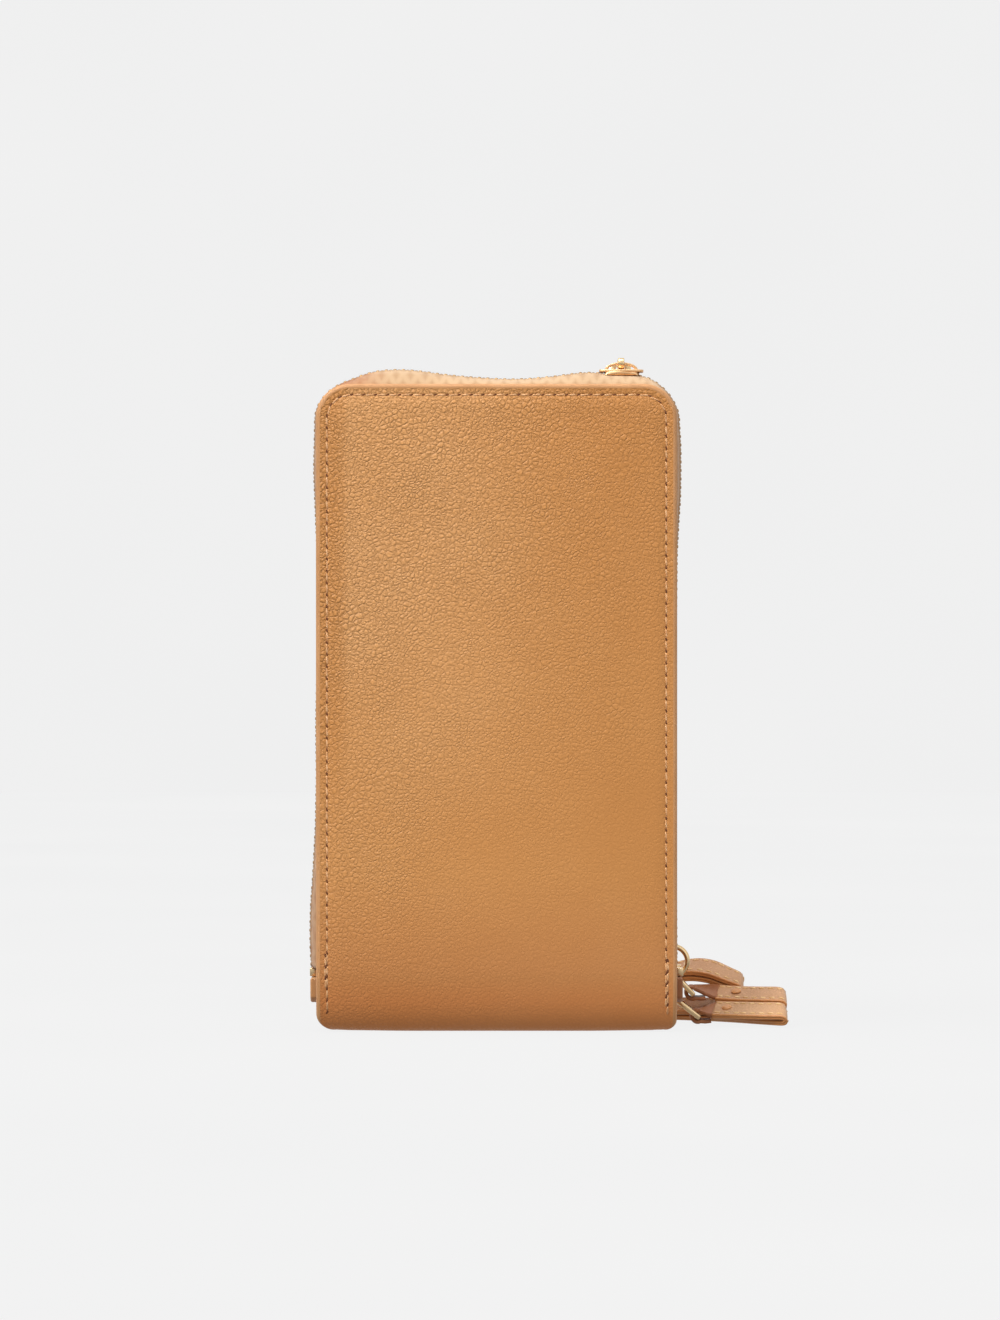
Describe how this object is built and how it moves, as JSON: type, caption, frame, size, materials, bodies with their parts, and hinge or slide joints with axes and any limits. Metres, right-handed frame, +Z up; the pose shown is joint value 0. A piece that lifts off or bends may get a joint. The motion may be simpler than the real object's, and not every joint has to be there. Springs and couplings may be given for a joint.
{
  "type": "zip around wallet",
  "caption": "Tall zip around wallet in pebbled camel leather on a folded spine, gold zip round three sides, opening front cover, card slots, coin pocket and clip-on wrist strap.",
  "frame": {"origin": "Centre of the flat underside of the spine fold, where the closed wallet stands on a table; x = 0 is mid width and y = 0 is the zip chain's mid plane.", "axes": "+Z up along the wallet's height, +X to the right across its width as the front cover is seen, -Y out of the front cover."},
  "size_m": [0.1419, 0.0762, 0.1981],
  "materials": {
    "cover_leather": "pebbled camel leather, satin",
    "tab_leather": "smooth camel leather with painted edge",
    "strap_leather": "camel leather strap, stitched, painted edge",
    "lining_fabric": "fine twill lining",
    "slot_leather": "thin split leather",
    "board": "stiffener board",
    "zip_tape": "woven herringbone zip tape",
    "gold_metal": "polished pale gold plate",
    "gold_teeth": "gold zip teeth"
  },
  "bodies": {
    "back_leaf": {"spine": "cover_leather", "spine_lining": "lining_fabric", "back_cover": "cover_leather", "back_board": "board", "back_lining": "lining_fabric", "back_zip_tape": "zip_tape", "back_zip_teeth": "gold_teeth", "back_card_slot_1": "slot_leather", "back_card_slot_2": "slot_leather", "back_card_slot_3": "slot_leather", "back_slip_pocket": "slot_leather", "zip_end_stops": "gold_metal", "zip_end_tab_left": "tab_leather", "zip_end_tab_right": "tab_leather", "coin_pocket_front": "lining_fabric", "coin_pocket_back": "lining_fabric", "coin_pocket_edge": "slot_leather", "coin_zip_tape_front": "zip_tape", "coin_zip_tape_back": "zip_tape", "coin_zip_teeth": "gold_teeth", "gusset_left": "slot_leather", "gusset_right": "slot_leather", "ring_tab": "tab_leather", "tab_rivet": "gold_metal", "d_ring": "gold_metal"},
    "front_leaf": {"front_cover": "cover_leather", "front_board": "board", "front_lining": "lining_fabric", "front_zip_tape": "zip_tape", "front_zip_teeth": "gold_teeth", "front_card_slot_1": "slot_leather", "front_card_slot_2": "slot_leather", "front_card_slot_3": "slot_leather", "front_card_slot_4": "slot_leather"},
    "slider": {"slider_body": "gold_metal"},
    "pull_link": {"pull_ring": "gold_metal"},
    "pull": {"pull_tab": "gold_metal"},
    "coin_slider": {"coin_zip_slider": "gold_metal"},
    "coin_pull": {"coin_zip_pull": "gold_metal"},
    "strap_set": {"clasp_upper_hook": "gold_metal", "clasp_upper_loop": "gold_metal", "clasp_lower_hook": "gold_metal", "clasp_lower_loop": "gold_metal", "strap_end_upper": "strap_leather", "strap_end_lower": "strap_leather", "wrist_strap": "strap_leather", "strap_rivets": "gold_metal"},
    "upper_lever": {"clasp_upper_lever": "gold_metal"},
    "lower_lever": {"clasp_lower_lever": "gold_metal"}
  },
  "joints": [
    {"name": "zip_slide", "type": "slide", "parent": "back_leaf", "child": "slider", "axis": [1, 0, 0], "range_m": [-0.0735, 0]},
    {"name": "pull_link_swing", "type": "hinge", "parent": "slider", "child": "pull_link", "pos_m": [0.0368, 0, 0.19645], "axis": [1, 0, 0], "range_deg": [0, 180]},
    {"name": "pull_tab_swing", "type": "hinge", "parent": "pull_link", "child": "pull", "pos_m": [0.0368, 0.0156, 0.19645], "axis": [1, 0, 0], "range_deg": [0, 180]},
    {"name": "cover_open", "type": "hinge", "parent": "back_leaf", "child": "front_leaf", "pos_m": [0, -0.0135, 0.01815], "axis": [1, 0, 0], "range_deg": [0, 70], "deforming": ["gusset_left", "gusset_right"]},
    {"name": "coin_zip_slide", "type": "slide", "parent": "back_leaf", "child": "coin_slider", "axis": [1, 0, 0], "range_m": [-0.064, 0]},
    {"name": "coin_pull_swing", "type": "hinge", "parent": "coin_slider", "child": "coin_pull", "pos_m": [0.03, 0, 0.164], "axis": [0, 1, 0], "range_deg": [0, 170]},
    {"name": "strap_swing", "type": "hinge", "parent": "back_leaf", "child": "strap_set", "pos_m": [0.053, 0.0171, 0.0149], "axis": [1, 0, 0], "range_deg": [0, 60]},
    {"name": "upper_clasp_lever", "type": "hinge", "parent": "strap_set", "child": "upper_lever", "pos_m": [0.051, 0.0213, 0.0174], "axis": [1, 0, 0], "range_deg": [0, 22], "stiffness_Nm_per_rad": 0.004, "springref_deg": -11.46},
    {"name": "lower_clasp_lever", "type": "hinge", "parent": "strap_set", "child": "lower_lever", "pos_m": [0.0542, 0.02189, 0.01395], "axis": [1, 0, 0], "range_deg": [0, 22], "stiffness_Nm_per_rad": 0.004, "springref_deg": -11.46}
  ]
}
